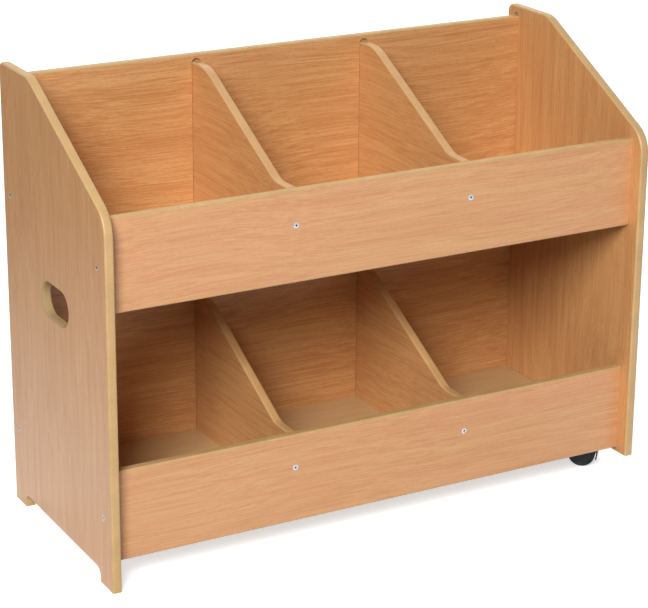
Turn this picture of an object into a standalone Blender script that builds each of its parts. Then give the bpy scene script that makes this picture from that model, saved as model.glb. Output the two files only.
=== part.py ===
# Kids bookcase: two tiers of three bins between two end panels, lifted by a hand slot on the left
# and wheeled on two castors under the right end.
# Units are metres and +Z is up. The front faces -Y, and the origin lies on the floor under the middle.
import math

import bmesh
import bpy
from mathutils import Vector

# Carcass
WIDTH = 0.950  # over both end panels
DEPTH = 0.394  # end panel, front edge to rear edge
HEIGHT = 0.730  # floor to the top of the end panels
BOARD = 0.015  # thickness of every board
EDGE_ROUND = 0.003  # rounded arrises of the boards
GAP = 0.0003  # clearance between pieces that touch
HOUSING = 0.005  # depth of the routed grooves that boards sit in
GROOVE_END = 0.0065  # how far the round end of a groove runs past a square edge

# End panels
TOP_FLAT = 0.115  # level top behind the slope
SHOULDER_RISE = 0.0065  # where the slope would meet the front edge, above the upper rail
REAR_CORNER_RADIUS = 0.012
SLOPE_CORNER_RADIUS = 0.050
RIGHT_CLEARANCE = 0.0315  # right end panel above the floor
FOOT_LENGTH = 0.047
ARCH_HEIGHT = 0.0225
ARCH_RADIUS = 0.012
SLOT_LENGTH = 0.100
SLOT_HEIGHT = 0.053
SLOT_CENTRE_Y = -0.0025
SLOT_CENTRE_Z = 0.3965

# Rails, shelves and back
RAIL_HEIGHT = 0.146
RAIL_SETBACK = 0.0245  # front edge of the end panels to the rail's face
RAIL_LIP = 0.0315  # top of a shelf above the bottom of its rail
TIER_PITCH = 0.3925  # base panel to upper shelf
BACK_INSET = 0.0175  # rear edge of the end panels to the back's rear face
BACK_DROP = 0.017  # top of the end panels to the top of the back

# Dividers
MIDDLE_BAY = 0.293  # clear width between the dividers
DIVIDER_DROP = 0.012  # top of the back to the top of the upper dividers
DIVIDER_FRONT_FLAT = 0.043  # level run behind the rail, flush with its top
DIVIDER_TOP_RADIUS = 0.080
DIVIDER_FILLET_RADIUS = 0.040

# Screws
SCREW_HEAD_DIAMETER = 0.0096
SCREW_SHANK_DIAMETER = 0.005
SCREW_LENGTH = 0.040
SCREW_HEAD_HEIGHT = 0.0028
SCREW_TIP = 0.005
SCREW_SINK = 0.0003  # head below the face of the board
SCREW_RISE = 0.059  # screws into the dividers and the back, above the shelf

# Castors
WHEEL_DIAMETER = 0.046
WHEEL_WIDTH = 0.012
WHEEL_ROUND = 0.0025
WHEEL_DISH = 0.0015
WHEEL_RIM = 0.005
HUB_DIAMETER = 0.018
CASTOR_TRAIL = 0.015  # swivel axis to axle
HOOD_CLEARANCE = 0.0018  # wheel to hood
HOOD_WALL = 0.0022
HOOD_TIP_ANGLE = math.radians(-20)  # lower end of the hood behind the wheel
HOOD_NOSE_ANGLE = math.radians(150)  # upper end of the hood over the swivel
WEB_THICKNESS = 0.008  # middle plate of the hood, between the wheels
WEB_START_ANGLE = math.radians(30)
WEB_END_ANGLE = math.radians(140)
WHEEL_PLAY = 0.001  # wheel to web
BOSS_DIAMETER = 0.016
BOSS_RISE = 0.0006  # boss above the top of the hood
AXLE_DIAMETER = 0.006
AXLE_BOSS_DIAMETER = 0.014
AXLE_ENGAGEMENT = 0.009  # length of axle inside each wheel
PIN_DIAMETER = 0.0045
PIN_HEAD_DIAMETER = 0.009
PIN_LENGTH = 0.018
RING_THICKNESS = 0.001
PLATE_SIZE = 0.038
PLATE_THICKNESS = 0.0025
PLATE_CORNER_RADIUS = 0.005
PLATE_HOLE_PITCH = 0.028
PLATE_SCREW_HEAD_DIAMETER = 0.0068
PLATE_SCREW_SHANK_DIAMETER = 0.0035
PLATE_SCREW_HEAD_HEIGHT = 0.0018
PLATE_SCREW_LENGTH = 0.0135
PLATE_SCREW_TIP = 0.002
CASTOR_INSET_X = 0.047  # inner face of the right end panel to the swivel axis
CASTOR_INSET_Y = 0.042  # rear face of the lower rail to the front swivel axis
SWIVEL_ANGLE = math.radians(-42)  # way the castors trail at rest, from +X

# Smoothness of the round forms
ARC_TOLERANCE = 0.00008  # most that a chord may cut inside its arc
EDGE_STEPS = 1
SHARP_ANGLE = math.radians(40)  # edges sharper than this stay crisp in shading
WELD = 0.00001  # points closer than this are one point
SCREW_STEPS = 12
WHEEL_STEPS = 28

# Levels, from the floor up
WHEEL_RADIUS = WHEEL_DIAMETER / 2
HOOD_INNER_RADIUS = WHEEL_RADIUS + HOOD_CLEARANCE
HOOD_RADIUS = HOOD_INNER_RADIUS + HOOD_WALL
BOSS_TOP = WHEEL_RADIUS + HOOD_RADIUS + BOSS_RISE
RING_BOTTOM = BOSS_TOP + GAP
PLATE_BOTTOM = RING_BOTTOM + RING_THICKNESS + GAP
PLATE_TOP = PLATE_BOTTOM + PLATE_THICKNESS
BASE_UNDERSIDE = PLATE_TOP + GAP
BASE_TOP = BASE_UNDERSIDE + BOARD
SHELF_TOP = BASE_TOP + TIER_PITCH
LOWER_RAIL_BOTTOM = BASE_TOP - RAIL_LIP
UPPER_RAIL_BOTTOM = SHELF_TOP - RAIL_LIP
UPPER_RAIL_TOP = UPPER_RAIL_BOTTOM + RAIL_HEIGHT
BACK_TOP = HEIGHT - BACK_DROP
DIVIDER_HEIGHT = BACK_TOP - DIVIDER_DROP - SHELF_TOP
ROUNDED_GROOVE_END = BOARD / 2 - EDGE_ROUND + GAP  # how far it runs past an edge with rounded arrises

# Places across and from front to back
OUTER_X = WIDTH / 2
INNER_X = OUTER_X - BOARD
PANEL_FRONT = -DEPTH / 2
PANEL_REAR = DEPTH / 2
RAIL_FRONT = PANEL_FRONT + RAIL_SETBACK
RAIL_REAR = RAIL_FRONT + BOARD
RAIL_MIDDLE = (RAIL_FRONT + RAIL_REAR) / 2
BACK_REAR = PANEL_REAR - BACK_INSET
BACK_FRONT = BACK_REAR - BOARD
BACK_MIDDLE = (BACK_FRONT + BACK_REAR) / 2
DIVIDER_X = (MIDDLE_BAY + BOARD) / 2
SHOULDER_Z = UPPER_RAIL_TOP + SHOULDER_RISE
SLOPE_TANGENT = (HEIGHT - SHOULDER_Z) / (DEPTH - TOP_FLAT)
CASTOR_X = INNER_X - CASTOR_INSET_X
CASTOR_Y = RAIL_REAR + CASTOR_INSET_Y
CASTOR_HALF_WIDTH = WEB_THICKNESS / 2 + WHEEL_PLAY + WHEEL_WIDTH

# A blank runs past the faces that are trimmed square by this much
TRIM = 0.020

# Rotations that lay a flat outline in the YZ plane and in the XZ plane
YZ_PLANE = (math.pi / 2, 0, math.pi / 2)
XZ_PLANE = (math.pi / 2, 0, 0)
LEVEL = (0, 0, 0)

# Directions that a screw is driven in
DRIVE_RIGHT = (0, -math.pi / 2, 0)
DRIVE_LEFT = (0, math.pi / 2, 0)
DRIVE_BACK = (math.pi / 2, 0, 0)
DRIVE_FORWARD = (-math.pi / 2, 0, 0)
DRIVE_UP = (math.pi, 0, 0)


def new_collection(name):
    collection = bpy.data.collections.new(name)
    bpy.context.scene.collection.children.link(collection)
    return collection


def new_material(name, colour, roughness, metallic):
    material = bpy.data.materials.new(name)
    material.use_nodes = True
    shader = material.node_tree.nodes["Principled BSDF"]
    shader.inputs["Base Color"].default_value = (*colour, 1)
    shader.inputs["Roughness"].default_value = roughness
    shader.inputs["Metallic"].default_value = metallic
    return material


def add_object(name, mesh, material, location=(0, 0, 0), rotation=LEVEL, parent=None):
    """Add a part, or a cutter where there is no material."""
    obj = bpy.data.objects.new(name, mesh)
    obj.location = location
    obj.rotation_euler = rotation
    obj.parent = parent
    if material:
        mesh.materials.append(material)
        PARTS.objects.link(obj)
    else:
        obj.hide_render = True
        obj.display_type = "WIRE"
        CUTTERS.objects.link(obj)
    return obj


def combine(obj, tool, operation="DIFFERENCE"):
    modifier = obj.modifiers.new(tool.name, "BOOLEAN")
    modifier.operation = operation
    modifier.object = tool


def arc(centre, radius, start, end):
    """Points along an arc, both ends included."""
    chord_angle = 2 * math.acos(1 - ARC_TOLERANCE / radius)
    steps = max(2, math.ceil(abs(end - start) / chord_angle))
    angles = [start + (end - start) * i / steps for i in range(steps + 1)]
    return [(centre[0] + radius * math.cos(a), centre[1] + radius * math.sin(a)) for a in angles]


def outline(corners):
    """Closed outline through corners (u, v, radius), with an arc at each corner that has a radius."""
    points = []
    for i, (u, v, radius) in enumerate(corners):
        if not radius:
            points.append((u, v))
            continue
        corner = Vector((u, v))
        before = (Vector(corners[i - 1][:2]) - corner).normalized()
        after = (Vector(corners[(i + 1) % len(corners)][:2]) - corner).normalized()
        half = before.angle(after) / 2
        centre = corner + (before + after).normalized() * radius / math.sin(half)
        from_centre = corner + before * radius / math.tan(half) - centre
        start = math.atan2(from_centre.y, from_centre.x)
        turn = math.copysign(math.pi - 2 * half, before.y * after.x - before.x * after.y)
        points.extend(arc(centre, radius, start, start + turn))
    return points


def rectangle(low_u, low_v, high_u, high_v, radius=0):
    corners = [(low_u, low_v), (high_u, low_v), (high_u, high_v), (low_u, high_v)]
    return outline([(u, v, radius) for u, v in corners])


def smooth(mesh):
    mesh.shade_smooth()
    mesh.set_sharp_from_angle(angle=SHARP_ANGLE)


def flat_mesh(name, loops, thickness, edge_round=0):
    """Board of a flat outline, with holes as further loops and rounded arrises."""
    curve = bpy.data.curves.new(name, "CURVE")
    curve.dimensions = "2D"
    curve.fill_mode = "BOTH"
    curve.extrude = thickness / 2 - edge_round
    curve.bevel_depth = edge_round
    curve.bevel_resolution = EDGE_STEPS
    curve.offset = -edge_round
    for loop in loops:
        spline = curve.splines.new("POLY")
        spline.points.add(len(loop) - 1)
        for point, (u, v) in zip(spline.points, loop):
            point.co = (u, v, 0, 1)
        spline.use_cyclic_u = True
    holder = bpy.data.objects.new(name, curve)
    CUTTERS.objects.link(holder)
    depsgraph = bpy.context.evaluated_depsgraph_get()
    mesh = bpy.data.meshes.new_from_object(holder.evaluated_get(depsgraph))
    bpy.data.objects.remove(holder)
    bpy.data.curves.remove(curve)
    solid = bmesh.new()
    solid.from_mesh(mesh)
    bmesh.ops.remove_doubles(solid, verts=solid.verts, dist=WELD)
    bmesh.ops.recalc_face_normals(solid, faces=solid.faces)
    solid.to_mesh(mesh)
    solid.free()
    smooth(mesh)
    mesh.name = name
    return mesh


def box_mesh(name, size):
    mesh = bpy.data.meshes.new(name)
    solid = bmesh.new()
    bmesh.ops.create_cube(solid, size=1)
    bmesh.ops.scale(solid, vec=size, verts=solid.verts)
    solid.to_mesh(mesh)
    solid.free()
    return mesh


def add_box(name, low, high, material):
    size = [b - a for a, b in zip(low, high)]
    middle = [(a + b) / 2 for a, b in zip(low, high)]
    return add_object(name, box_mesh(name, size), material, middle)


def cylinder_mesh(name, radius, height, segments):
    mesh = bpy.data.meshes.new(name)
    solid = bmesh.new()
    bmesh.ops.create_cone(
        solid, cap_ends=True, segments=segments, radius1=radius, radius2=radius, depth=height)
    solid.to_mesh(mesh)
    solid.free()
    smooth(mesh)
    return mesh


def add_turned(name, profile, steps, material, location, rotation=LEVEL, parent=None):
    """Turn a profile of (radius, height) pairs, listed from the top down, about the local Z axis."""
    mesh = bpy.data.meshes.new(name)
    points = [(radius, 0, height) for radius, height in profile]
    mesh.from_pydata(points, [(i, i + 1) for i in range(len(points) - 1)], [])
    obj = add_object(name, mesh, material, location, rotation, parent)
    turn = obj.modifiers.new("turn", "SCREW")
    turn.steps = steps
    turn.render_steps = steps
    turn.use_merge_vertices = True
    turn.merge_threshold = WELD
    return obj


def add_screw(name, location, rotation, head, shank, head_height, length, tip, boards):
    """Countersunk screw driven along its own -Z, with its hole in each board that it passes."""
    profile = [(0, 0), (head / 2, 0), (shank / 2, -head_height), (shank / 2, tip - length), (0, -length)]
    add_turned(name, profile, SCREW_STEPS, ZINC, location, rotation)
    wide_head = head / 2 + GAP
    wide_shank = shank / 2 + GAP
    hole = [(0, head_height), (wide_head, head_height), (wide_head, 0), (wide_shank, -head_height)]
    hole += [(wide_shank, -length - GAP), (0, -length - GAP)]
    cutter = add_turned(name + "_hole", hole, SCREW_STEPS, None, location, rotation)
    for board in boards:
        combine(board, cutter)


def add_board_screw(name, location, rotation, boards):
    """Screw of the carcass, its head just below the face of the board."""
    add_screw(
        name, location, rotation, SCREW_HEAD_DIAMETER, SCREW_SHANK_DIAMETER,
        SCREW_HEAD_HEIGHT, SCREW_LENGTH, SCREW_TIP, boards)


def panel_corners(bottom):
    """Side view of an end panel, which runs past its bottom edge to be trimmed there."""
    return [
        (PANEL_FRONT, bottom - TRIM, 0),
        (PANEL_REAR, bottom - TRIM, 0),
        (PANEL_REAR, HEIGHT, REAR_CORNER_RADIUS),
        (PANEL_REAR - TOP_FLAT, HEIGHT, SLOPE_CORNER_RADIUS),
        (PANEL_FRONT, SHOULDER_Z, SLOPE_CORNER_RADIUS),
    ]


def hand_slot():
    """Outline of the slot, which has a half round at each end."""
    radius = SLOT_HEIGHT / 2
    reach = SLOT_LENGTH / 2 - radius
    loop = arc((SLOT_CENTRE_Y + reach, SLOT_CENTRE_Z), radius, -math.pi / 2, math.pi / 2)
    loop += arc((SLOT_CENTRE_Y - reach, SLOT_CENTRE_Z), radius, math.pi / 2, 3 * math.pi / 2)
    return loop[::-1]


def add_end_panel(name, side, bottom, holes):
    """End panel on one side, with the grooves that house the back and both shelves."""
    middle_x = side * (OUTER_X - BOARD / 2)
    inner_x = side * INNER_X
    mesh = flat_mesh(name, [outline(panel_corners(bottom)), *holes], BOARD, EDGE_ROUND)
    panel = add_object(name, mesh, BEECH, (middle_x, 0, 0), YZ_PLANE)
    low = (middle_x - BOARD, PANEL_FRONT - TRIM, bottom - 2 * TRIM)
    combine(panel, add_box(name + "_trim", low, (middle_x + BOARD, PANEL_REAR + TRIM, bottom), None))
    back_groove = outline([
        (BACK_FRONT - GAP, bottom - TRIM, 0),
        (BACK_REAR + GAP, bottom - TRIM, 0),
        (BACK_REAR + GAP, BACK_TOP + ROUNDED_GROOVE_END, BOARD / 2),
        (BACK_FRONT - GAP, BACK_TOP + ROUNDED_GROOVE_END, BOARD / 2),
    ])
    groove_mesh = flat_mesh(name + "_back_groove", [back_groove], 2 * HOUSING)
    combine(panel, add_object(name + "_back_groove", groove_mesh, None, (inner_x, 0, 0), YZ_PLANE))
    for tier, top in (("base", BASE_TOP), ("shelf", SHELF_TOP)):
        shelf_groove = outline([
            (RAIL_REAR - GROOVE_END, top - BOARD - GAP, BOARD / 2),
            (BACK_MIDDLE, top - BOARD - GAP, 0),
            (BACK_MIDDLE, top + GAP, 0),
            (RAIL_REAR - GROOVE_END, top + GAP, BOARD / 2),
        ])
        cutter_name = f"{name}_{tier}_groove"
        groove_mesh = flat_mesh(cutter_name, [shelf_groove], 2 * HOUSING)
        combine(panel, add_object(cutter_name, groove_mesh, None, (inner_x, 0, 0), YZ_PLANE))
    return panel


def add_left_end_panel():
    """Panel that stands on two feet, with a hand slot to lift the bookcase by."""
    panel = add_end_panel("left_end_panel", -1, 0, [hand_slot()])
    arch = outline([
        (PANEL_FRONT + FOOT_LENGTH, -TRIM, 0),
        (PANEL_REAR - FOOT_LENGTH, -TRIM, 0),
        (PANEL_REAR - FOOT_LENGTH, ARCH_HEIGHT, ARCH_RADIUS),
        (PANEL_FRONT + FOOT_LENGTH, ARCH_HEIGHT, ARCH_RADIUS),
    ])
    mesh = flat_mesh("foot_arch", [arch], 2 * BOARD)
    combine(panel, add_object("foot_arch", mesh, None, (BOARD / 2 - OUTER_X, 0, 0), YZ_PLANE))
    return panel


def add_rail(name, bottom):
    """Front rail with all four long arrises rounded."""
    section = rectangle(RAIL_FRONT, bottom, RAIL_REAR, bottom + RAIL_HEIGHT, EDGE_ROUND)
    mesh = flat_mesh(name, [section], 2 * (INNER_X - GAP))
    return add_object(name, mesh, BEECH, rotation=YZ_PLANE)


def add_shelf(name, top):
    reach = INNER_X + HOUSING - GAP
    low = (-reach, RAIL_REAR + GAP, top - BOARD)
    return add_box(name, low, (reach, BACK_FRONT - GAP, top), BEECH)


def add_back_panel():
    """Back with rounded top arrises and a stopped groove for each divider."""
    section = outline([
        (BACK_FRONT, LOWER_RAIL_BOTTOM, 0),
        (BACK_REAR, LOWER_RAIL_BOTTOM, 0),
        (BACK_REAR, BACK_TOP, EDGE_ROUND),
        (BACK_FRONT, BACK_TOP, EDGE_ROUND),
    ])
    mesh = flat_mesh("back_panel", [section], 2 * (INNER_X + HOUSING - GAP))
    back = add_object("back_panel", mesh, BEECH, rotation=YZ_PLANE)
    half_width = BOARD / 2 + GAP
    for tier, shelf in (("lower", BASE_TOP), ("upper", SHELF_TOP)):
        for side, x in (("left", -DIVIDER_X), ("right", DIVIDER_X)):
            name = f"{tier}_divider_{side}_groove"
            top = shelf + DIVIDER_HEIGHT + ROUNDED_GROOVE_END
            loop = rectangle(-half_width, shelf - GROOVE_END, half_width, top, BOARD / 2)
            groove_mesh = flat_mesh(name, [loop], 2 * HOUSING)
            combine(back, add_object(name, groove_mesh, None, (x, BACK_FRONT, 0), XZ_PLANE))
    return back


def add_divider(name, x, shelf):
    """Divider that slopes down from the back and ends flush with the top of the rail."""
    front = RAIL_REAR + GAP
    rear = BACK_FRONT + HOUSING - GAP
    bottom = shelf + GAP
    top = shelf + DIVIDER_HEIGHT
    front_top = shelf - RAIL_LIP + RAIL_HEIGHT
    slope_front = RAIL_REAR + DIVIDER_FRONT_FLAT
    slope_rear = slope_front + (top - front_top) / SLOPE_TANGENT
    blank = outline([
        (front - TRIM, bottom - TRIM, 0),
        (rear + TRIM, bottom - TRIM, 0),
        (rear + TRIM, top, 0),
        (slope_rear, top, DIVIDER_TOP_RADIUS),
        (slope_front, front_top, DIVIDER_FILLET_RADIUS),
        (front - TRIM, front_top, 0),
    ])
    divider = add_object(name, flat_mesh(name, [blank], BOARD, EDGE_ROUND), BEECH, (x, 0, 0), YZ_PLANE)
    envelope = add_box(name + "_trim", (x - BOARD, front, bottom), (x + BOARD, rear, top + TRIM), None)
    combine(divider, envelope, "INTERSECT")
    return divider


def add_castor(name, y, base):
    """Twin-wheel castor: plate screwed under the base, hood on a kingpin, two wheels on one axle."""
    half = PLATE_SIZE / 2
    plate_mesh = flat_mesh(
        name + "_plate", [rectangle(-half, -half, half, half, PLATE_CORNER_RADIUS)], PLATE_THICKNESS)
    plate = add_object(name + "_plate", plate_mesh, STEEL, (CASTOR_X, y, (PLATE_BOTTOM + PLATE_TOP) / 2))
    pitch = PLATE_HOLE_PITCH / 2
    for number, (dx, dy) in enumerate(rectangle(-pitch, -pitch, pitch, pitch), start=1):
        add_screw(
            f"{name}_plate_screw_{number}", (CASTOR_X + dx, y + dy, PLATE_BOTTOM + SCREW_SINK), DRIVE_UP,
            PLATE_SCREW_HEAD_DIAMETER, PLATE_SCREW_SHANK_DIAMETER, PLATE_SCREW_HEAD_HEIGHT,
            PLATE_SCREW_LENGTH, PLATE_SCREW_TIP, (plate, base))
    swivel = bpy.data.objects.new(name + "_swivel", None)
    swivel.location = (CASTOR_X, y, 0)
    swivel.rotation_euler = (0, 0, SWIVEL_ANGLE)
    CUTTERS.objects.link(swivel)
    hood = add_hood(name, swivel)
    add_kingpin(name, y, plate, hood)
    ring = [(BOSS_DIAMETER / 2, RING_THICKNESS), (BOSS_DIAMETER / 2, 0), (PIN_DIAMETER / 2 + GAP, 0)]
    ring += [(PIN_DIAMETER / 2 + GAP, RING_THICKNESS), (BOSS_DIAMETER / 2, RING_THICKNESS)]
    add_turned(name + "_swivel_ring", ring, WHEEL_STEPS, NYLON, (CASTOR_X, y, RING_BOTTOM))
    axle_length = WEB_THICKNESS + 2 * (WHEEL_PLAY + AXLE_ENGAGEMENT)
    axle = cylinder_mesh(name + "_axle", AXLE_DIAMETER / 2, axle_length, SCREW_STEPS)
    axle_place = (CASTOR_TRAIL, 0, WHEEL_RADIUS)
    add_object(name + "_axle", axle, STEEL, axle_place, XZ_PLANE, swivel)
    inner_face = WEB_THICKNESS / 2 + WHEEL_PLAY
    for side, sign in (("near", -1), ("far", 1)):
        place = (CASTOR_TRAIL, sign * inner_face, WHEEL_RADIUS)
        add_turned(
            f"{name}_{side}_wheel", wheel_profile(), WHEEL_STEPS, NYLON,
            place, (-sign * math.pi / 2, 0, 0), swivel)


def add_kingpin(name, y, plate, hood):
    """Pin with a countersunk head in the plate, which the hood turns on."""
    head = PIN_HEAD_DIAMETER / 2
    shaft = PIN_DIAMETER / 2
    taper = head - shaft
    place = (CASTOR_X, y, PLATE_TOP)
    add_turned(
        name + "_kingpin", [(0, 0), (head, 0), (shaft, -taper), (shaft, -PIN_LENGTH), (0, -PIN_LENGTH)],
        SCREW_STEPS, STEEL, place)
    hole = [(0, taper), (head + GAP + taper, taper), (shaft + GAP, -taper)]
    hole += [(shaft + GAP, -PIN_LENGTH - GAP), (0, -PIN_LENGTH - GAP)]
    cutter = add_turned(name + "_kingpin_hole", hole, SCREW_STEPS, None, place)
    combine(plate, cutter)
    combine(hood, cutter)


def add_hood(name, swivel):
    """Mudguard over both wheels, with a middle web for the axle and a boss for the kingpin."""
    axle = (CASTOR_TRAIL, WHEEL_RADIUS)
    guard = arc(axle, HOOD_RADIUS, HOOD_TIP_ANGLE, HOOD_NOSE_ANGLE)
    guard += arc(axle, HOOD_INNER_RADIUS, HOOD_NOSE_ANGLE, HOOD_TIP_ANGLE)
    mesh = flat_mesh(name + "_hood", [guard], 2 * CASTOR_HALF_WIDTH)
    hood = add_object(name + "_hood", mesh, NYLON, rotation=XZ_PLANE, parent=swivel)
    boss_height = BOSS_TOP - WHEEL_RADIUS
    boss_mesh = cylinder_mesh(name + "_boss", BOSS_DIAMETER / 2, boss_height, WHEEL_STEPS)
    boss_place = (0, 0, BOSS_TOP - boss_height / 2)
    combine(hood, add_object(name + "_boss", boss_mesh, None, boss_place, parent=swivel), "UNION")
    well_length = 2 * CASTOR_HALF_WIDTH + TRIM
    well_mesh = cylinder_mesh(name + "_wheel_well", HOOD_INNER_RADIUS, well_length, 2 * WHEEL_STEPS)
    well_place = (CASTOR_TRAIL, 0, WHEEL_RADIUS)
    combine(hood, add_object(name + "_wheel_well", well_mesh, None, well_place, XZ_PLANE, swivel))
    web = arc(axle, HOOD_RADIUS - HOOD_WALL / 2, WEB_START_ANGLE, WEB_END_ANGLE)
    web += arc(axle, AXLE_BOSS_DIAMETER / 2, math.pi, 2 * math.pi)
    web_mesh = flat_mesh(name + "_web", [web], WEB_THICKNESS)
    combine(hood, add_object(name + "_web", web_mesh, None, rotation=XZ_PLANE, parent=swivel), "UNION")
    bore_mesh = cylinder_mesh(name + "_axle_bore", AXLE_DIAMETER / 2 + GAP, 2 * WEB_THICKNESS, SCREW_STEPS)
    combine(hood, add_object(name + "_axle_bore", bore_mesh, None, well_place, XZ_PLANE, swivel))
    return hood


def wheel_profile():
    """Half section of a wheel from the middle of its outer face round to its blind bore."""
    rim = WHEEL_RADIUS - WHEEL_RIM
    hub = HUB_DIAMETER / 2
    bore = AXLE_DIAMETER / 2 + GAP
    dish = WHEEL_WIDTH - WHEEL_DISH
    edge = WHEEL_RADIUS - WHEEL_ROUND
    profile = [(0, WHEEL_WIDTH), (hub - WHEEL_DISH, WHEEL_WIDTH), (hub, dish)]
    profile += [(rim, dish), (rim + WHEEL_DISH, WHEEL_WIDTH)]
    profile += arc((edge, WHEEL_WIDTH - WHEEL_ROUND), WHEEL_ROUND, math.pi / 2, 0)
    profile += arc((edge, WHEEL_ROUND), WHEEL_ROUND, 0, -math.pi / 2)
    profile += [(bore, 0), (bore, AXLE_ENGAGEMENT + GAP), (0, AXLE_ENGAGEMENT + GAP)]
    return profile


def build():
    left = add_left_end_panel()
    right = add_end_panel("right_end_panel", 1, RIGHT_CLEARANCE, [])
    back = add_back_panel()
    base = add_shelf("base_panel", BASE_TOP)
    add_shelf("upper_shelf", SHELF_TOP)
    for tier, shelf in (("lower", BASE_TOP), ("upper", SHELF_TOP)):
        rail = add_rail(tier + "_front_rail", shelf - RAIL_LIP)
        screw_z = shelf + SCREW_RISE
        rail_z = shelf - RAIL_LIP + RAIL_HEIGHT / 2
        for side, sign in (("left", -1), ("right", 1)):
            divider = add_divider(f"{tier}_divider_{side}", sign * DIVIDER_X, shelf)
            front = (sign * DIVIDER_X, RAIL_FRONT + SCREW_SINK, screw_z)
            add_board_screw(f"{tier}_rail_screw_{side}", front, DRIVE_BACK, (rail, divider))
            rear = (sign * DIVIDER_X, BACK_REAR - SCREW_SINK, screw_z)
            add_board_screw(f"{tier}_back_screw_{side}", rear, DRIVE_FORWARD, (back, divider))
        for side, sign, panel, drive in (("left", -1, left, DRIVE_RIGHT), ("right", 1, right, DRIVE_LEFT)):
            head_x = sign * (OUTER_X - SCREW_SINK)
            front = (head_x, RAIL_MIDDLE, rail_z)
            add_board_screw(f"{side}_panel_{tier}_front_screw", front, drive, (panel, rail))
            rear = (head_x, BACK_MIDDLE, screw_z)
            add_board_screw(f"{side}_panel_{tier}_rear_screw", rear, drive, (panel, back))
    add_castor("front_castor", CASTOR_Y, base)
    add_castor("rear_castor", -CASTOR_Y, base)


for leftover in list(bpy.data.objects):
    bpy.data.objects.remove(leftover, do_unlink=True)
PARTS = new_collection("kids_bookcase")
CUTTERS = new_collection("cutters")
BEECH = new_material("beech_foil_board", (0.68, 0.38, 0.19), 0.45, 0)
ZINC = new_material("zinc_plated_screw", (0.72, 0.72, 0.70), 0.3, 1)
STEEL = new_material("steel", (0.55, 0.55, 0.55), 0.35, 1)
NYLON = new_material("black_nylon", (0.012, 0.012, 0.013), 0.4, 0)
build()
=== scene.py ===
import math

import bmesh
import bpy
from mathutils import Euler, Matrix, Vector


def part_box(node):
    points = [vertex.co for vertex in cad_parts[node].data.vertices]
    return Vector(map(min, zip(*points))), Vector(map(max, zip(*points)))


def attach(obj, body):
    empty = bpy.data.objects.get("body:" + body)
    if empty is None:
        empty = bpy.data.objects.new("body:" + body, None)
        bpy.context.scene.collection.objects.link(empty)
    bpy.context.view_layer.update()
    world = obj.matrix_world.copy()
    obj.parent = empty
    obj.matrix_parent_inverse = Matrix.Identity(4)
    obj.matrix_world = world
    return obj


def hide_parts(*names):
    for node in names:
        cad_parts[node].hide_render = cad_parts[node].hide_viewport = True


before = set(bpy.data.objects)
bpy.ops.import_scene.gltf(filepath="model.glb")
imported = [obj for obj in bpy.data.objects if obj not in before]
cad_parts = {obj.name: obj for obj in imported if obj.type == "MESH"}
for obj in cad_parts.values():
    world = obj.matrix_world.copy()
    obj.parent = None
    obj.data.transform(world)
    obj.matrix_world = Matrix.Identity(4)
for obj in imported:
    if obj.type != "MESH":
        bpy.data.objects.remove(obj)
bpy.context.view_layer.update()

MM = 0.001

# Meshes
WELD = 0.01 * MM  # points closer than this are one point
CUT_WELD = 0.001 * MM  # the same, along a cut
CUT_OVERRUN = 1 * MM  # a hole's cutter runs this far past its mouth
ONE_PLANE = math.radians(0.1)  # faces that lean less than this are one face
ROUNDING_STEP = math.radians(50)  # edges up to this angle shade as one curve
FACE_TOLERANCE = 0.05 * MM  # a face this close to a plane lies in it
FLAT = 0.999  # a normal with this share along an axis faces along it
UPRIGHT = 0.001  # a normal with less than this share along an axis is square to it
LEANING = 0.3  # a normal with this share along an axis leans that way

# Boards
GROOVE_EASE = 0.7 * MM  # chamfer round the mouth of a groove
SLOT_MIDDLE = Vector((-2.5 * MM, 396.5 * MM))  # hand slot in the left end panel, along Y and Z
SLOT_REACH = Vector((54 * MM, 30.5 * MM))  # from its middle past its roundings
EDGE_FACES, FOIL_FACES, GROOVE_FACES, HAND_SLOT_FACES = range(4)  # material slots of a board

# Screws, as (radius, height) in millimetres down from the middle of the head
BOARD_SCREW = [(4.55, 0), (4.8, -0.25), (4.6, -0.5), (2.5, -2.8), (2.5, -35), (0.4, -40)]
PLATE_SCREW = [(3.2, 0), (3.4, -0.2), (3.3, -0.4), (1.75, -1.8), (1.75, -11.5), (0.4, -13.5)]
SCREW_STEPS = 40
PLATE_SCREWS = 4  # on each castor
RECESS_FACES = 1  # material slot of a screw's recess

# Cross recess, cut by two tapered bars whose upper half stands out of the head
BAR_LENGTH = 0.60  # of its top, as a share of the head's diameter
BAR_WIDTH = 0.18
BAR_TAPER = 0.55  # size of its foot against its top
RECESS_DEPTH = 0.5  # share of the head's radius

# Castors
SWIVEL_ANGLE = math.radians(-42)  # way that the castors trail at rest, from +X
TRAIL = 15 * MM
AXLE_HEIGHT = 23 * MM
WHEEL_WIDTH = 12 * MM
WHEEL_STEPS = 72
SHOULDER_STEPS = 8  # along each rounded shoulder of the tread
HOOD_RADIUS = 27 * MM
HOOD_INNER_RADIUS = 24.8 * MM
HOOD_MIDDLE_RADIUS = (HOOD_RADIUS + HOOD_INNER_RADIUS) / 2
HOOD_WIDTH = 34 * MM
HOOD_TIP = math.radians(-20)
HOOD_SWEEP = math.radians(170)
HOOD_STEPS = 48
HOOD_CORNER = 0.9 * MM  # rounded corners of the guard's section
HOOD_CORNER_STEPS = 4
BOSS_RADIUS = 8 * MM
BOSS_TOP = 50.6 * MM
WEB_THICKNESS = 8 * MM
WEB_FOOT = 5.6 * MM  # half the web's width beside the axle
WEB_START = math.radians(30)
WEB_END = math.radians(140)
HUB_RADIUS = 7 * MM
HUB_THICKNESS = 8.8 * MM
AXLE_HOLE_RADIUS = 3.3 * MM
PIN_HOLE_RADIUS = 2.55 * MM
PIN_FOOT = 36 * MM  # lower end of the kingpin's hole
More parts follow.
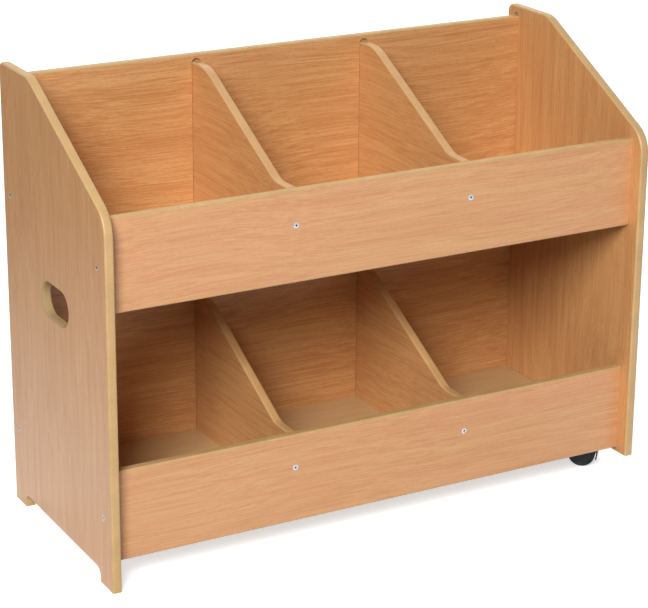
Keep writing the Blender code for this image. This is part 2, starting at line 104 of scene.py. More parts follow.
PIN_BOSS_RADIUS = 4.3 * MM  # moulded round that hole, inside the hood
PIN_BOSS_FOOT = 34.4 * MM
PIN_BOSS_TOP = 46 * MM
SOFT_EDGE = 0.5 * MM  # moulded edges of the hood

# White paper on the floor, bright up to PAPER_NEAR from PAPER_MIDDLE and dim from PAPER_FAR on
PAPER_SIZE = 14
PAPER_DROP = 0.2 * MM  # keeps it clear of the feet
PAPER_MIDDLE = (0.9, -0.85, 0)
PAPER_NEAR = 1.3
PAPER_FAR = 3.2
PAPER_BRIGHT = 0.75  # share of the light that it throws back
PAPER_DIM = 0.2
PAPER_GLOW = 0.60  # brings the bright part to white

# Light, with lamps in watts
AMBIENT = 0.04  # of the room
LAMP_AIM = (0, 0, 0.35)
KEY_PLACE = (-3.2, -3.75, 3.7)
KEY_SIZE = (1.9, 2.6)
KEY_POWER = 415
FILL_PLACE = (2.0, 3.2, 3.2)
FILL_SIZE = (2.6, 1.6)
FILL_POWER = 170

# Camera, fitted to an image of 648 by 608
CAMERA_PLACE = (-1.6243, -2.8914, 1.5057)
CAMERA_YAW = math.radians(28.267)
CAMERA_PITCH = math.radians(-18.363)
CAMERA_ROLL = math.radians(0.155)
CAMERA_LENS = 121.077  # in millimetres, on a sensor of SENSOR_WIDTH
SENSOR_WIDTH = 36
CAMERA_SHIFT = (0.05, -0.08)
CAMERA_REACH = 50


# Materials

NOISE_LOW = 0.3  # noise gathers about 0.5 and seldom leaves this range
NOISE_HIGH = 0.7
GRAIN_DRIFT = 40 * MM  # how far the foil's grain wanders to the side
BAND_WEIGHT = 0.75  # part of the soft bands in the foil's figure
LINE_WEIGHT = 1.25  # part of the fine lines
FLECK_FAINTNESS = 3  # flecks are this many times as faint as the figure
FIBRE_SHARE = 0.6  # of an edge's speckle, with blotches for the rest

# Turns that lay the grain along an axis
ALONG_X = (0, 0, 0)
ALONG_Y = (0, 0, math.radians(-90))
ALONG_Z = (0, math.radians(90), 0)

# Tones of beech: tan ground, rosy ground, brown line and dark fleck
PALE_BEECH = ("#D5A373", "#D79E72", "#BF8253", "#A0683A")
GOLDEN_BEECH = ("#D3A069", "#D19B65", "#BB7E4B", "#9E6433")
# Greyer tones for the base panel and shelf: painted reflection, the pale sheen that their tops show at a
# grazing view
SHEEN_GREYED_BEECH = ("#C9AA7A", "#CBA579", "#B48859", "#976D3E")


def linear(colour):
    """Linear colour of an sRGB hex value."""
    parts = [int(colour[i:i + 2], 16) / 255 for i in (1, 3, 5)]
    return [c / 12.92 if c <= 0.04045 else ((c + 0.055) / 1.055) ** 2.4 for c in parts] + [1]


def node(tree, kind, settings, inputs):
    """Add one node; an input is a value, or another node's output to link from."""
    added = tree.nodes.new(kind)
    for name, value in settings.items():
        setattr(added, name, value)
    for name, value in inputs.items():
        if isinstance(value, bpy.types.NodeSocket):
            tree.links.new(value, added.inputs[name])
        else:
            added.inputs[name].default_value = value
    return added


def start_material(name):
    """New material with its tree, its shader and the place on the piece that a pattern reads."""
    material = bpy.data.materials.new(name)
    material.use_nodes = True
    tree = material.node_tree
    place = node(tree, "ShaderNodeTexCoord", {}, {}).outputs["Object"]
    return material, tree, tree.nodes["Principled BSDF"], place


def streaks(tree, place, length, width, detail):
    """Noise drawn out along X, with features of that length and width in millimetres."""
    scale = (1 / (length * MM), 1 / (width * MM), 1 / (width * MM))
    stretched = node(tree, "ShaderNodeMapping", {}, {"Vector": place, "Scale": scale}).outputs["Vector"]
    noise = node(
        tree, "ShaderNodeTexNoise", {},
        {"Vector": stretched, "Scale": 1, "Detail": detail, "Roughness": 0.55})
    return noise.outputs["Fac"]


def speckle(tree, shader, pattern, low, high, light, dark):
    """Colour the shader from light, where a pattern is low, to dark, where it is high."""
    share = node(tree, "ShaderNodeMapRange", {}, {"Value": pattern, "From Min": low, "From Max": high})
    colour = node(
        tree, "ShaderNodeMix", {"data_type": "RGBA"},
        {0: share.outputs[0], 6: linear(light), 7: linear(dark)})
    tree.links.new(colour.outputs[2], shader.inputs["Base Color"])


def beech_foil(name, turn, tones, figure_depth):
    """Beech print foil under a satin lacquer: soft streaks, tan beside rosy, with fine lines and short
    brown flecks, all wandering a little along the grain. Lines and flecks are drawn coarser than real ones
    so that they show, and the figure's depth is how far they darken the ground."""
    material, tree, shader, place = start_material(name)
    tan, rosy, brown, fleck = (linear(tone) for tone in tones)
    grain = node(tree, "ShaderNodeMapping", {}, {"Vector": place, "Rotation": turn}).outputs["Vector"]
    drift = streaks(tree, grain, length=400, width=150, detail=0)
    grain = node(
        tree, "ShaderNodeVectorMath", {"operation": "MULTIPLY_ADD"},
        {0: drift, 1: (0, GRAIN_DRIFT, GRAIN_DRIFT), 2: grain}).outputs["Vector"]
    tints = streaks(tree, grain, length=600, width=14, detail=2)
    bands = streaks(tree, grain, length=450, width=11, detail=2)
    lines = streaks(tree, grain, length=140, width=1.8, detail=1)
    specks = streaks(tree, grain, length=9, width=1, detail=0)

    rosiness = node(tree, "ShaderNodeMapRange", {}, {"Value": tints, "From Min": 0.36, "From Max": 0.64})
    ground = node(
        tree, "ShaderNodeMix", {"data_type": "RGBA"},
        {0: rosiness.outputs[0], 6: tan, 7: rosy})
    soft = node(tree, "ShaderNodeMath", {"operation": "MULTIPLY"}, {0: bands, 1: BAND_WEIGHT})
    figure = node(
        tree, "ShaderNodeMath", {"operation": "MULTIPLY_ADD"},
        {0: lines, 1: LINE_WEIGHT, 2: soft.outputs[0]})
    depth = node(
        tree, "ShaderNodeMapRange", {},
        {"Value": figure.outputs[0], "From Min": 0.78, "From Max": 1.28, "To Max": figure_depth})
    printed = node(
        tree, "ShaderNodeMix", {"data_type": "RGBA"},
        {0: depth.outputs[0], 6: ground.outputs[2], 7: brown})
    flecks = node(
        tree, "ShaderNodeMapRange", {},
        {"Value": specks, "From Min": 0.54, "From Max": 0.78, "To Max": figure_depth / FLECK_FAINTNESS})
    colour = node(
        tree, "ShaderNodeMix", {"data_type": "RGBA"},
        {0: flecks.outputs[0], 6: printed.outputs[2], 7: fleck})
    tree.links.new(colour.outputs[2], shader.inputs["Base Color"])

    sheen = node(
        tree, "ShaderNodeMapRange", {},
        {"Value": lines, "From Min": NOISE_LOW, "From Max": NOISE_HIGH, "To Min": 0.38, "To Max": 0.46})
    tree.links.new(sheen.outputs[0], shader.inputs["Roughness"])
    relief = node(
        tree, "ShaderNodeBump", {"invert": True},
        {"Strength": 0.06, "Distance": 0.2 * MM, "Height": lines})
    tree.links.new(relief.outputs[0], shader.inputs["Normal"])
    shader.inputs["IOR"].default_value = 1.5
    shader.inputs["Specular IOR Level"].default_value = 0.2
    shader.inputs["Coat Weight"].default_value = 0.9
    shader.inputs["Coat IOR"].default_value = 1.35
    shader.inputs["Coat Roughness"].default_value = 0.28
    return material


def lacquered_edge(name, light, dark):
    """MDF edge, routed, sanded and clear lacquered: plain beige with faint blotches and a speckle of fibres
    from light to dark, which is drawn coarser than the real one so that it shows."""
    material, tree, shader, place = start_material(name)
    fibres = streaks(tree, place, length=1.6, width=1.6, detail=2)
    blotches = streaks(tree, place, length=35, width=35, detail=1)
    fibre_part = node(tree, "ShaderNodeMath", {"operation": "MULTIPLY"}, {0: fibres, 1: FIBRE_SHARE})
    mixed = node(
        tree, "ShaderNodeMath", {"operation": "MULTIPLY_ADD"},
        {0: blotches, 1: 1 - FIBRE_SHARE, 2: fibre_part.outputs[0]})
    speckle(tree, shader, mixed.outputs[0], 0.35, 0.65, light, dark)
    sheen = node(
        tree, "ShaderNodeMapRange", {},
        {"Value": fibres, "From Min": NOISE_LOW, "From Max": NOISE_HIGH, "To Min": 0.42, "To Max": 0.52})
    tree.links.new(sheen.outputs[0], shader.inputs["Roughness"])
    relief = node(tree, "ShaderNodeBump", {}, {"Strength": 0.1, "Distance": 0.2 * MM, "Height": fibres})
    tree.links.new(relief.outputs[0], shader.inputs["Normal"])
    shader.inputs["IOR"].default_value = 1.5
    shader.inputs["Coat Weight"].default_value = 0.4
    shader.inputs["Coat Roughness"].default_value = 0.45
    return material


def routed_mdf(name, light, dark):
    """MDF core, routed: dull, with a speckle of fibres from light to dark, which is drawn coarser than the
    real one so that it shows.
    Bare and not lacquered in the grooves; in the hand slot its darker tones are painted shade."""
    material, tree, shader, place = start_material(name)
    fibres = streaks(tree, place, length=1.2, width=1.2, detail=2)
    speckle(tree, shader, fibres, NOISE_LOW, NOISE_HIGH, light, dark)
    shader.inputs["Roughness"].default_value = 0.85
    return material


def zinc_plate(name, grain, light, dark):
    """Bright zinc plating on steel: silver with cloudy patches of that grain in millimetres, from light and
    shiny to dark and duller."""
    material, tree, shader, place = start_material(name)
    clouds = streaks(tree, place, length=grain, width=grain, detail=2)
    speckle(tree, shader, clouds, NOISE_LOW, NOISE_HIGH, light, dark)
    dull = node(
        tree, "ShaderNodeMapRange", {},
        {"Value": clouds, "From Min": NOISE_LOW, "From Max": NOISE_HIGH, "To Min": 0.22, "To Max": 0.38})
    tree.links.new(dull.outputs[0], shader.inputs["Roughness"])
    shader.inputs["Metallic"].default_value = 1
    return material


def black_nylon(name):
    """Glass-filled nylon, moulded: near black with a dull sheen, soft scuffs and a faint mould texture, which
    is drawn coarser than the real one so that it shows."""
    material, tree, shader, place = start_material(name)
    texture = streaks(tree, place, length=0.7, width=0.7, detail=2)
    scuffs = streaks(tree, place, length=9, width=9, detail=2)
    speckle(tree, shader, scuffs, 0.35, 0.7, "#0E0E10", "#161619")
    dull = node(
        tree, "ShaderNodeMapRange", {},
        {"Value": scuffs, "From Min": NOISE_LOW, "From Max": NOISE_HIGH, "To Min": 0.38, "To Max": 0.52})
    tree.links.new(dull.outputs[0], shader.inputs["Roughness"])
    relief = node(tree, "ShaderNodeBump", {}, {"Strength": 0.15, "Distance": 0.1 * MM, "Height": texture})
    tree.links.new(relief.outputs[0], shader.inputs["Normal"])
    shader.inputs["IOR"].default_value = 1.53
    shader.inputs["Specular IOR Level"].default_value = 0.3
    return material


RAIL_FOIL = beech_foil("beech_foil_grain_across", ALONG_X, PALE_BEECH, 0.58)
DIVIDER_FOIL = beech_foil("beech_foil_grain_deep", ALONG_Y, GOLDEN_BEECH, 0.8)
END_FOIL = beech_foil("beech_foil_grain_upright", ALONG_Z, GOLDEN_BEECH, 0.75)
BACK_FOIL = beech_foil("beech_foil_strong_figure", ALONG_X, GOLDEN_BEECH, 0.9)
# The base panel and shelf take the greyer tones: painted sheen on their tops
SHELF_FOIL = beech_foil("beech_foil_soft_figure_painted_sheen", ALONG_X, SHEEN_GREYED_BEECH, 0.5)
EDGE = lacquered_edge("lacquered_mdf_edge", "#C9A570", "#B8925D")
DIVIDER_EDGE = lacquered_edge("lacquered_mdf_divider_edge", "#CDA16D", "#BB8E5A")
GROOVE = routed_mdf("bare_routed_mdf", "#CBA473", "#B08A58")
HAND_SLOT_SHADE_MDF = routed_mdf("routed_mdf_painted_slot_shade", "#AC9064", "#9A7F56")
ZINC = zinc_plate("zinc_plated_screw_steel", 2.5, "#D8E2EE", "#BCC9D8")
STEEL = zinc_plate("zinc_plated_pressed_steel", 5, "#C4C6C8", "#A9ACAF")
# Dark blue zinc for the cross recess: painted shade in its hollow
RECESS_SHADE_ZINC = zinc_plate("zinc_darkened_as_painted_recess_shade", 1.5, "#4C6A8E", "#344C6C")
NYLON = black_nylon("moulded_black_nylon")


# Modelling

def take_up(obj):
    """Select one object alone."""
    bpy.ops.object.select_all(action="DESELECT")
    obj.select_set(True)
    bpy.context.view_layer.objects.active = obj


def edit(obj):
    """Open one object in edit mode, with nothing of it selected."""
    take_up(obj)
    bpy.ops.object.mode_set(mode="EDIT")
    bpy.ops.mesh.select_mode(type="FACE")
    bpy.ops.mesh.select_all(action="DESELECT")


def close(obj):
    """Leave edit mode and hand back the object."""
    bpy.ops.object.mode_set(mode="OBJECT")
    return obj


def pick_faces(obj, wanted):
    """Select the faces whose middle and normal are wanted."""
    mesh = bmesh.from_edit_mesh(obj.data)
    for face in mesh.faces:
        face.select_set(wanted(face.calc_center_median(), face.normal))
    bmesh.update_edit_mesh(obj.data)


def pick_seams(obj, first, second):
    """Select the edges between faces of one material slot and faces of another."""
    bpy.ops.mesh.select_mode(type="EDGE")
    mesh = bmesh.from_edit_mesh(obj.data)
    for edge in mesh.edges:
        edge.select_set({face.material_index for face in edge.link_faces} == {first, second})
    bmesh.update_edit_mesh(obj.data)


def paint(obj, slot, wanted):
    """Give the faces that are wanted the material in one slot."""
    edit(obj)
    pick_faces(obj, wanted)
    obj.active_material_index = slot
    bpy.ops.object.material_slot_assign()
    close(obj)


def finish_with(obj, kind, **settings):
    """Add one modifier and apply it."""
    take_up(obj)
    modifier = obj.modifiers.new(kind.lower(), kind)
    for name, value in settings.items():
        setattr(modifier, name, value)
    bpy.ops.object.modifier_apply(modifier=modifier.name)


def combine(obj, tool, operation):
    """Cut a tool out of a piece, or weld it on, and throw the tool away."""
    finish_with(obj, "BOOLEAN", operation=operation, object=tool, solver="EXACT")
    bpy.data.objects.remove(tool)


def shade(obj):
    """Shade the roundings smooth and keep the sharp edges."""
    take_up(obj)
    bpy.ops.object.shade_smooth_by_angle(angle=ROUNDING_STEP)


def coat(obj, *materials):
    """Give an object these materials in place of those that it has."""
    obj.data.materials.clear()
    for material in materials:
        obj.data.materials.append(material)


def seat(piece, body, source):
    """Make a piece ride on its body and stand for its solid."""
    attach(piece, body)
    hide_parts(source)


def merged_copy(source, name):
    """Copy of a solid with its loose triangles joined into one skin of flat faces."""
    obj = bpy.data.objects.new(name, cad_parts[source].data.copy())
    bpy.context.scene.collection.objects.link(obj)
    take_up(obj)
    bpy.ops.mesh.customdata_custom_splitnormals_clear()
    bpy.ops.object.mode_set(mode="EDIT")
    bpy.ops.mesh.select_all(action="SELECT")
    bpy.ops.mesh.remove_doubles(threshold=WELD)
    bpy.ops.mesh.dissolve_limited(angle_limit=ONE_PLANE)
    return close(obj)


def place_copy(model, name, matrix):
    """Copy of a modelled piece with a mesh of its own, moved to its place in the mesh."""
    piece = bpy.data.objects.new(name, model.data.copy())
    piece.data.transform(matrix)
    bpy.context.scene.collection.objects.link(piece)
    return piece


def turned(name, profile, steps):
    """Turn a piece about Z: a disc is drawn out and scaled through (radius, height) pairs."""
    radius, height = profile[0]
    bpy.ops.object.select_all(action="DESELECT")
    bpy.ops.mesh.primitive_circle_add(
        vertices=steps, radius=radius, fill_type="NGON", location=(0, 0, height))
    obj = bpy.context.object
    obj.name = name
    bpy.ops.object.transform_apply(location=True)
    bpy.ops.object.mode_set(mode="EDIT")
    bpy.ops.mesh.select_all(action="SELECT")
    for next_radius, next_height in profile[1:]:
        bpy.ops.mesh.extrude_region_move(
            TRANSFORM_OT_translate={"value": (0, 0, next_height - height)})
        ratio = next_radius / radius
        bpy.ops.transform.resize(value=(ratio, ratio, 1), center_override=(0, 0, next_height))
        radius, height = next_radius, next_height
    bpy.ops.mesh.select_all(action="SELECT")
    bpy.ops.mesh.normals_make_consistent(inside=False)
    return close(obj)


def in_metres(profile):
    """Profile in metres of one in millimetres."""
    return [(radius * MM, height * MM) for radius, height in profile]


def block(name, size, middle):
    """Plain block to shape further or to cut with."""
    bpy.ops.object.select_all(action="DESELECT")
    bpy.ops.mesh.primitive_cube_add(size=1, location=middle)
    obj = bpy.context.object
    obj.name = name
    obj.scale = size
    bpy.ops.object.transform_apply(location=True, scale=True)
    return obj


def trim(obj, point, outward):
    """Cut away what lies beyond a plane and close the cut."""
    edit(obj)
    bpy.ops.mesh.select_all(action="SELECT")
    bpy.ops.mesh.bisect(
        plane_co=point, plane_no=outward, use_fill=True, clear_outer=True, threshold=CUT_WELD)
    close(obj)


def quarter_round(centre, radius, start, steps):
    """Points of a quarter circle that runs clockwise from the start angle, both ends included."""
    angles = [math.radians(start - 90 * i / steps) for i in range(steps + 1)]
    return [(centre[0] + radius * math.cos(a), centre[1] + radius * math.sin(a)) for a in angles]


# Boards

def add_board(source, axis, foil, edge=EDGE, wrapped=lambda normal: False):
    """Board, thin along one axis, with foil on its two broad faces and on the roundings that it wraps, and
    lacquer on its other edges. Its grooves are bare, and their mouths are eased."""
    board = merged_copy(source, source + "_faced")
    low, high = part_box(source)
    half = (high[axis] - low[axis]) / 2
    coat(board, edge, foil, GROOVE)

    def off_middle(middle):
        return abs(middle[axis] - low[axis] - half)

    def broad(middle, normal):
        return off_middle(middle) > half - FACE_TOLERANCE and abs(normal[axis]) > FLAT

    def in_groove(middle, normal):
        floor = abs(normal[axis]) > FLAT and off_middle(middle) < half - FACE_TOLERANCE
        wall = abs(normal[axis]) < UPRIGHT and half / 2 < off_middle(middle) < half - GROOVE_EASE
        return floor or wall

    paint(board, FOIL_FACES, lambda middle, normal: broad(middle, normal) or wrapped(normal))
    paint(board, GROOVE_FACES, in_groove)
    edit(board)
    pick_seams(board, FOIL_FACES, GROOVE_FACES)
    bpy.ops.mesh.bevel(offset=GROOVE_EASE, segments=1, affect="EDGES", material=EDGE_FACES)
    close(board)
    shade(board)
    finish_with(board, "WEIGHTED_NORMAL", keep_sharp=True)
    seat(board, "carcass", source)
    return board


def lower_front(normal):
    """Roundings along the lower front edge of a rail."""
    return normal.y < -LEANING and normal.z < -LEANING


def in_hand_slot(middle, normal):
    """Walls and roundings of the hand slot, which take a darker, dull MDF tone as painted shade."""
    off = middle.yz - SLOT_MIDDLE
    return abs(normal.x) < FLAT and abs(off.x) < SLOT_REACH.x and abs(off.y) < SLOT_REACH.y


left_panel = add_board("left_end_panel", 0, END_FOIL)
# The hand slot's walls take a darker, dull tone: painted shade inside the slot
left_panel.data.materials.append(HAND_SLOT_SHADE_MDF)
paint(left_panel, HAND_SLOT_FACES, in_hand_slot)
add_board("right_end_panel", 0, END_FOIL)
for source in ("lower_front_rail", "upper_front_rail"):
    add_board(source, 1, RAIL_FOIL, wrapped=lower_front)
add_board("back_panel", 1, BACK_FOIL)
for source in ("base_panel", "upper_shelf"):
    add_board(source, 2, SHELF_FOIL)
for tier in ("lower", "upper"):
    for side in ("left", "right"):
        add_board(f"{tier}_divider_{side}", 0, DIVIDER_FOIL, DIVIDER_EDGE)


# Screws

def cross_head_screw(name, profile):
    """Countersunk screw, head up, with a tapered cross recess whose faces are painted dark as shade."""
    profile = in_metres(profile)
    screw = turned(name, profile, SCREW_STEPS)
    head = 2 * profile[1][0]
    depth = RECESS_DEPTH * head / 2
    for turn in (0, math.pi / 2):
        bar = block("recess_bar", (BAR_LENGTH * head, BAR_WIDTH * head, 2 * depth), (0, 0, 0))
        edit(bar)
        pick_faces(bar, lambda middle, normal: normal.z < -FLAT)
        bpy.ops.transform.resize(value=(BAR_TAPER, BAR_TAPER, 1), center_override=(0, 0, -depth))
        close(bar)
        bar.data.transform(Matrix.Rotation(turn, 4, "Z"))
        combine(screw, bar, "DIFFERENCE")
    coat(screw, ZINC, RECESS_SHADE_ZINC)

    def in_recess(middle, normal):
        return -depth - FACE_TOLERANCE < middle.z < -WELD and middle.xy.length < BAR_LENGTH * head / 2

    # The recess faces take the dark zinc: painted shade in the hollow of the cross
    paint(screw, RECESS_FACES, in_recess)
    shade(screw)
    return screw


# Ways that a head faces: the axis that the screw lies along, the corner of its box on the head's side and
# the turn that faces the head there
HEAD_LEFT = (0, 0, Euler((0, math.radians(-90), 0)))
HEAD_RIGHT = (0, 1, Euler((0, math.radians(90), 0)))
HEAD_FRONT = (1, 0, Euler((math.radians(90), 0, 0)))
HEAD_REAR = (1, 1, Euler((math.radians(-90), 0, 0)))
HEAD_DOWN = (2, 0, Euler((math.radians(180), 0, 0)))


def drive(model, source, head):
    """Put a copy of a screw where its solid is."""
    axis, corner, turn = head
    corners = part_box(source)
    head_middle = (corners[0] + corners[1]) / 2
    head_middle[axis] = corners[corner][axis]
    place = Matrix.Translation(head_middle) @ turn.to_matrix().to_4x4()
    seat(place_copy(model, source + "_cross_head", place), "carcass", source)


board_screw = cross_head_screw("board_screw", BOARD_SCREW)
plate_screw = cross_head_screw("plate_screw", PLATE_SCREW)
for tier in ("lower", "upper"):
    for side in ("left", "right"):
        drive(board_screw, f"{tier}_rail_screw_{side}", HEAD_FRONT)
        drive(board_screw, f"{tier}_back_screw_{side}", HEAD_REAR)
    for end in ("front", "rear"):
        drive(board_screw, f"left_panel_{tier}_{end}_screw", HEAD_LEFT)
        drive(board_screw, f"right_panel_{tier}_{end}_screw", HEAD_RIGHT)
for castor in ("front_castor", "rear_castor"):
    for number in range(1, PLATE_SCREWS + 1):
        drive(plate_screw, f"{castor}_plate_screw_{number}", HEAD_DOWN)
bpy.data.objects.remove(board_screw)
bpy.data.objects.remove(plate_screw)


# Castors

def moulded_wheel():
    """Wheel about Z with its outer face up, from the middle of that face to its blind bore."""
    cap = [(6.4, 12), (7.1, 11.85), (7.7, 11.4), (8.5, 10.75), (9.3, 10.5)]
    dished_web = [(17.6, 10.5), (18.3, 10.72), (19.0, 11.5), (19.6, 11.9), (20.2, 12)]
    outer_shoulder = quarter_round((20.5, 9.5), 2.5, 90, SHOULDER_STEPS)
    groove_round_tread = [(23, 6.5), (22.7, 6.3), (22.7, 5.7), (23, 5.5)]
    inner_shoulder = quarter_round((20.5, 2.5), 2.5, 0, SHOULDER_STEPS)
    bore = [(4.0, 0), (3.3, 0.6), (3.3, 9.3)]
    profile = cap + dished_web + outer_shoulder + groove_round_tread + inner_shoulder + bore
    wheel = turned("wheel", in_metres(profile), WHEEL_STEPS)
    shade(wheel)
    return wheel


def hood_guard(axle):
    """Guard over the wheels: its section, with rounded corners, swept round the axle."""
    tip = axle + HOOD_MIDDLE_RADIUS * Vector((math.cos(HOOD_TIP), 0, math.sin(HOOD_TIP)))
    bpy.ops.object.select_all(action="DESELECT")
    bpy.ops.mesh.primitive_plane_add(size=1, location=tip, rotation=(0, -HOOD_TIP, 0))
    guard = bpy.context.object
    guard.scale = (HOOD_RADIUS - HOOD_INNER_RADIUS, HOOD_WIDTH, 1)
    bpy.ops.object.transform_apply(location=True, rotation=True, scale=True)
    bpy.ops.object.mode_set(mode="EDIT")
    bpy.ops.mesh.select_all(action="SELECT")
    bpy.ops.mesh.bevel(offset=HOOD_CORNER, segments=HOOD_CORNER_STEPS, affect="VERTICES")
    bpy.ops.mesh.select_all(action="SELECT")
    bpy.ops.mesh.spin(steps=HOOD_STEPS, angle=HOOD_SWEEP, center=axle, axis=(0, 1, 0))
    bpy.ops.mesh.select_all(action="SELECT")
    bpy.ops.mesh.remove_doubles(threshold=WELD)
    bpy.ops.mesh.normals_make_consistent(inside=False)
    return close(guard)


def soft_disc(name, radius, thickness, steps):
    """Disc about Z with softened rims."""
    half = thickness / 2
    rim = radius - SOFT_EDGE
    profile = [(rim, -half), (radius, SOFT_EDGE - half), (radius, half - SOFT_EDGE), (rim, half)]
    return turned(name, profile, steps)


def hood_web():
    """Web between the wheels, about Z: a disc trimmed to a fan, and a hub for the axle at its narrow end."""
    web = soft_disc("web", HOOD_MIDDLE_RADIUS, WEB_THICKNESS, 2 * WHEEL_STEPS)
    for foot, angle in ((WEB_FOOT, WEB_START), (-WEB_FOOT, WEB_END)):
        side = HOOD_MIDDLE_RADIUS * Vector((math.cos(angle), math.sin(angle), 0)) - Vector((foot, 0, 0))
        trim(web, (foot, 0, 0), Vector((side.y, -side.x, 0)) * math.copysign(1, foot))
    trim(web, (0, 0, 0), (0, -1, 0))
    combine(web, soft_disc("hub", HUB_RADIUS, HUB_THICKNESS, WHEEL_STEPS), "UNION")
    return web


def rod(name, radius, low, high, steps):
    """Plain rod about Z to cut a hole with."""
    return turned(name, [(radius, low), (radius, high)], steps)


def moulded_hood():
    """Hood that trails along +X from a swivel at the origin: guard, swivel boss, web and pin boss."""
    axle = Vector((TRAIL, 0, AXLE_HEIGHT))
    to_axle = Matrix.Translation(axle) @ Matrix.Rotation(math.radians(90), 4, "X")
    hood = hood_guard(axle)
    boss = turned("boss", [
        (BOSS_RADIUS, AXLE_HEIGHT), (BOSS_RADIUS, BOSS_TOP - SOFT_EDGE),
        (BOSS_RADIUS - SOFT_EDGE, BOSS_TOP),
    ], WHEEL_STEPS)
    well = rod("well", HOOD_MIDDLE_RADIUS, -HOOD_WIDTH, HOOD_WIDTH, 2 * WHEEL_STEPS)
    well.data.transform(to_axle)
    combine(boss, well, "DIFFERENCE")
    combine(hood, boss, "UNION")
    web = hood_web()
    web.data.transform(to_axle)
    combine(hood, web, "UNION")
    pin_boss = turned("pin_boss", [
        (PIN_BOSS_RADIUS - SOFT_EDGE, PIN_BOSS_FOOT), (PIN_BOSS_RADIUS, PIN_BOSS_FOOT + SOFT_EDGE),
        (PIN_BOSS_RADIUS, PIN_BOSS_TOP),
    ], SCREW_STEPS)
    combine(hood, pin_boss, "UNION")
    axle_hole = rod("axle_hole", AXLE_HOLE_RADIUS, -WEB_THICKNESS, WEB_THICKNESS, WHEEL_STEPS)
    axle_hole.data.transform(to_axle)
    combine(hood, axle_hole, "DIFFERENCE")
    pin_hole = rod("pin_hole", PIN_HOLE_RADIUS, PIN_FOOT, BOSS_TOP + CUT_OVERRUN, SCREW_STEPS)
    combine(hood, pin_hole, "DIFFERENCE")
    shade(hood)
    return hood


def add_castor(name, wheel, hood):
    """Castor at one place: its hood and wheels swivel, and its plate stays with the carcass."""
    ring_low, ring_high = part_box(f"{name}_castor_swivel_ring")
    swivel = Matrix.Translation(((ring_low.x + ring_high.x) / 2, (ring_low.y + ring_high.y) / 2, 0))
    swivel = swivel @ Matrix.Rotation(SWIVEL_ANGLE, 4, "Z")
    guard = place_copy(hood, f"{name}_castor_hood_moulded", swivel)
    coat(guard, NYLON)
    seat(guard, f"{name}_swivel", f"{name}_castor_hood")
    for side, sign in (("near", -1), ("far", 1)):
        source = f"{name}_castor_{side}_wheel"
        inner_face = sign * (HOOD_WIDTH / 2 - WHEEL_WIDTH)
        lie = Matrix.Translation((TRAIL, inner_face, AXLE_HEIGHT))
        lie = lie @ Matrix.Rotation(math.radians(-90 * sign), 4, "X")
        tyre = place_copy(wheel, source + "_moulded", swivel @ lie)
        coat(tyre, NYLON)
        seat(tyre, f"{name}_{side}_wheel", source)
    plate = merged_copy(f"{name}_castor_plate", f"{name}_castor_plate_pressed")
    shade(plate)
    coat(plate, STEEL)
    seat(plate, "carcass", f"{name}_castor_plate")
    for part, material in (("kingpin", STEEL), ("axle", STEEL), ("swivel_ring", NYLON)):
        coat(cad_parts[f"{name}_castor_{part}"], material)


wheel = moulded_wheel()
hood = moulded_hood()
for name in ("front", "rear"):
    add_castor(name, wheel, hood)
bpy.data.objects.remove(wheel)
bpy.data.objects.remove(hood)


# Floor, light and camera

def seen_directly(tree):
    """1 where a ray comes from the camera, a reflection or a clear material, and 0 where it only lights."""
    path = node(tree, "ShaderNodeLightPath", {}, {}).outputs
    seen = node(
        tree, "ShaderNodeMath", {"operation": "MAXIMUM"},
        {0: path["Is Camera Ray"], 1: path["Is Glossy Ray"]})
    return node(
        tree, "ShaderNodeMath", {"operation": "MAXIMUM"},
        {0: seen.outputs[0], 1: path["Is Transmission Ray"]}).outputs[0]


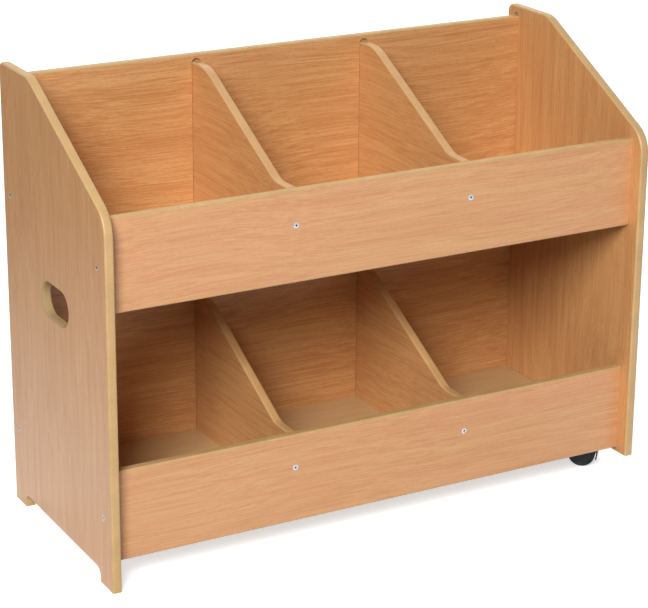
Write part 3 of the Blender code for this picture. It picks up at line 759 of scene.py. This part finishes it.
def white_paper():
    """Matt white paper: the camera sees it white all over, apart from the soft shadow of what stands on it,
    and reflections show its bright part alone."""
    material, tree, shader, place = start_material("matt_white_paper")
    shader.inputs["Roughness"].default_value = 1
    shader.inputs["Specular IOR Level"].default_value = 0
    shader.inputs["Emission Color"].default_value = (1, 1, 1, 1)
    path = node(tree, "ShaderNodeLightPath", {}, {}).outputs
    away = node(tree, "ShaderNodeVectorMath", {"operation": "DISTANCE"}, {0: place, 1: PAPER_MIDDLE})
    fade = {"Value": away.outputs["Value"], "From Min": PAPER_NEAR, "From Max": PAPER_FAR}
    mirrored = node(tree, "ShaderNodeMapRange", {}, {**fade, "To Min": PAPER_GLOW, "To Max": 0})
    paper = node(tree, "ShaderNodeMapRange", {}, {**fade, "To Min": PAPER_BRIGHT, "To Max": PAPER_DIM})
    tree.links.new(paper.outputs[0], shader.inputs["Base Color"])
    viewed = node(tree, "ShaderNodeMapRange", {}, {**fade, "To Min": PAPER_GLOW, "To Max": 1})
    glow = node(
        tree, "ShaderNodeMix", {},
        {0: path["Is Camera Ray"], 2: mirrored.outputs[0], 3: viewed.outputs[0]})
    shown = node(
        tree, "ShaderNodeMath", {"operation": "MULTIPLY"}, {0: seen_directly(tree), 1: glow.outputs[0]})
    tree.links.new(shown.outputs[0], shader.inputs["Emission Strength"])
    return material


bpy.ops.object.select_all(action="DESELECT")
bpy.ops.mesh.primitive_plane_add(size=PAPER_SIZE, location=(0, 0, -PAPER_DROP))
floor = bpy.context.object
floor.name = "floor"
coat(floor, white_paper())

world = bpy.data.worlds.new("studio")
bpy.context.scene.world = world
world.use_nodes = True
sky = world.node_tree
level = node(sky, "ShaderNodeMapRange", {}, {"Value": seen_directly(sky), "To Min": AMBIENT, "To Max": 1})
sky.links.new(level.outputs[0], sky.nodes["Background"].inputs["Strength"])
sky.nodes["Background"].inputs["Color"].default_value = (1, 1, 1, 1)


def softbox(name, place, size, power, mirrored):
    """Lamp with an even rectangle of light, which glossy surfaces mirror or not."""
    lamp = bpy.data.lights.new(name, "AREA")
    lamp.shape = "RECTANGLE"
    lamp.size, lamp.size_y = size
    lamp.energy = power
    obj = bpy.data.objects.new(name, lamp)
    obj.location = place
    obj.rotation_euler = (Vector(LAMP_AIM) - Vector(place)).to_track_quat("-Z", "Y").to_euler()
    obj.visible_glossy = mirrored
    bpy.context.scene.collection.objects.link(obj)


softbox("key_softbox", KEY_PLACE, KEY_SIZE, KEY_POWER, mirrored=True)
softbox("rear_fill", FILL_PLACE, FILL_SIZE, FILL_POWER, mirrored=False)

camera = bpy.data.objects.new("camera", bpy.data.cameras.new("camera"))
bpy.context.scene.collection.objects.link(camera)
camera.location = CAMERA_PLACE
level_view = Euler((math.pi / 2 + CAMERA_PITCH, 0, -CAMERA_YAW)).to_matrix()
camera.rotation_euler = (level_view @ Matrix.Rotation(CAMERA_ROLL, 3, "Z")).to_euler()
camera.data.sensor_width = SENSOR_WIDTH
camera.data.lens = CAMERA_LENS
camera.data.shift_x, camera.data.shift_y = CAMERA_SHIFT
camera.data.clip_end = CAMERA_REACH
bpy.context.scene.camera = camera
bpy.context.scene.view_settings.view_transform = "Standard"
